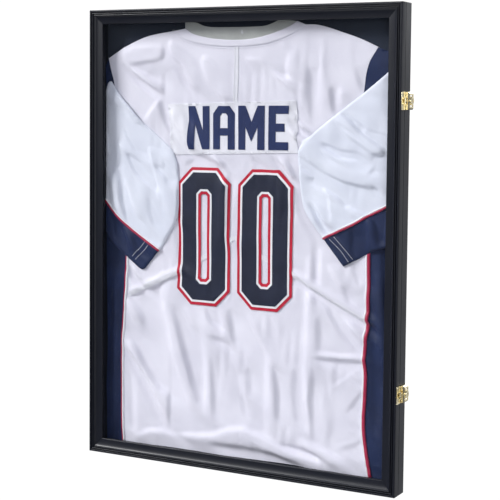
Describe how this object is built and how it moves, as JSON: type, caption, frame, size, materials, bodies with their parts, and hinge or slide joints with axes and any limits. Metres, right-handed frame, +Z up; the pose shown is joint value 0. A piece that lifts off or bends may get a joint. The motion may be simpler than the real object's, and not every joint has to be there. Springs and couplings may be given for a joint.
{
  "type": "jersey display frame",
  "caption": "Wall-hung wooden display case with a hinged, lockable clear acrylic door, holding a folded sports jersey on a flat hanger.",
  "frame": {"origin": "centre of the flat back, which lies against the wall", "axes": "+Z up; +Y back into the wall, so the door faces -Y; +X to the viewer's right, on the side with the keyed hasps"},
  "size_m": [0.6153, 0.039, 0.8],
  "materials": {
    "black_wood": "satin",
    "fibreboard": "matte",
    "felt": "matte",
    "clear_acrylic": "polished",
    "brass": "polished",
    "steel": "satin",
    "black_plastic": "matte",
    "white_knit": "matte"
  },
  "bodies": {
    "case": {"case_rail_left": "black_wood", "case_rail_right": "black_wood", "case_rail_top": "black_wood", "case_rail_bottom": "black_wood", "back_panel": "fibreboard", "backing_board": "felt", "hanger": "black_plastic", "hanger_peg": "steel", "jersey_torso": "white_knit", "jersey_sleeve_left": "white_knit", "jersey_sleeve_right": "white_knit", "keyhole_plate_left": "steel", "keyhole_screw_left_bottom": "steel", "keyhole_screw_left_top": "steel", "keyhole_plate_right": "steel", "keyhole_screw_right_bottom": "steel", "keyhole_screw_right_top": "steel", "upper_hinge_case_leaf": "brass", "upper_hinge_case_screw_bottom": "brass", "upper_hinge_case_screw_top": "brass", "upper_hinge_pin": "brass", "upper_catch_plate": "brass", "upper_catch_screw_front": "brass", "upper_catch_screw_back": "brass", "lower_hinge_case_leaf": "brass", "lower_hinge_case_screw_bottom": "brass", "lower_hinge_case_screw_top": "brass", "lower_hinge_pin": "brass", "lower_catch_plate": "brass", "lower_catch_screw_front": "brass", "lower_catch_screw_back": "brass"},
    "door": {"door_rail_left": "black_wood", "door_rail_right": "black_wood", "door_rail_top": "black_wood", "door_rail_bottom": "black_wood", "acrylic_pane": "clear_acrylic", "pane_bead_left": "black_wood", "pane_bead_right": "black_wood", "pane_bead_top": "black_wood", "pane_bead_bottom": "black_wood", "upper_hinge_door_leaf": "brass", "upper_hinge_door_screw_bottom": "brass", "upper_hinge_door_screw_top": "brass", "upper_hasp_leaf": "brass", "upper_leaf_screw_bottom": "brass", "upper_leaf_screw_top": "brass", "upper_hasp_pin": "steel", "lower_hinge_door_leaf": "brass", "lower_hinge_door_screw_bottom": "brass", "lower_hinge_door_screw_top": "brass", "lower_hasp_leaf": "brass", "lower_leaf_screw_bottom": "brass", "lower_leaf_screw_top": "brass", "lower_hasp_pin": "steel"},
    "upper_hasp": {"upper_hasp_flap": "brass"},
    "upper_lock": {"upper_lock_plug": "brass", "upper_lock_cam": "steel"},
    "lower_hasp": {"lower_hasp_flap": "brass"},
    "lower_lock": {"lower_lock_plug": "brass", "lower_lock_cam": "steel"}
  },
  "joints": [
    {"name": "door_hinge", "type": "hinge", "parent": "case", "child": "door", "pos_m": [-0.3026, -0.0225, 0], "axis": [0, 0, -1], "range_deg": [0, 170]},
    {"name": "upper_hasp_hinge", "type": "hinge", "parent": "door", "child": "upper_hasp", "pos_m": [0.3037, -0.0295, 0.243], "axis": [0, 0, -1], "range_deg": [0, 110]},
    {"name": "upper_lock_turn", "type": "hinge", "parent": "upper_hasp", "child": "upper_lock", "pos_m": [0.3, -0.015, 0.243], "axis": [1, 0, 0], "range_deg": [0, 90]},
    {"name": "lower_hasp_hinge", "type": "hinge", "parent": "door", "child": "lower_hasp", "pos_m": [0.3037, -0.0295, -0.232], "axis": [0, 0, -1], "range_deg": [0, 110]},
    {"name": "lower_lock_turn", "type": "hinge", "parent": "lower_hasp", "child": "lower_lock", "pos_m": [0.3, -0.015, -0.232], "axis": [1, 0, 0], "range_deg": [0, 90]}
  ]
}
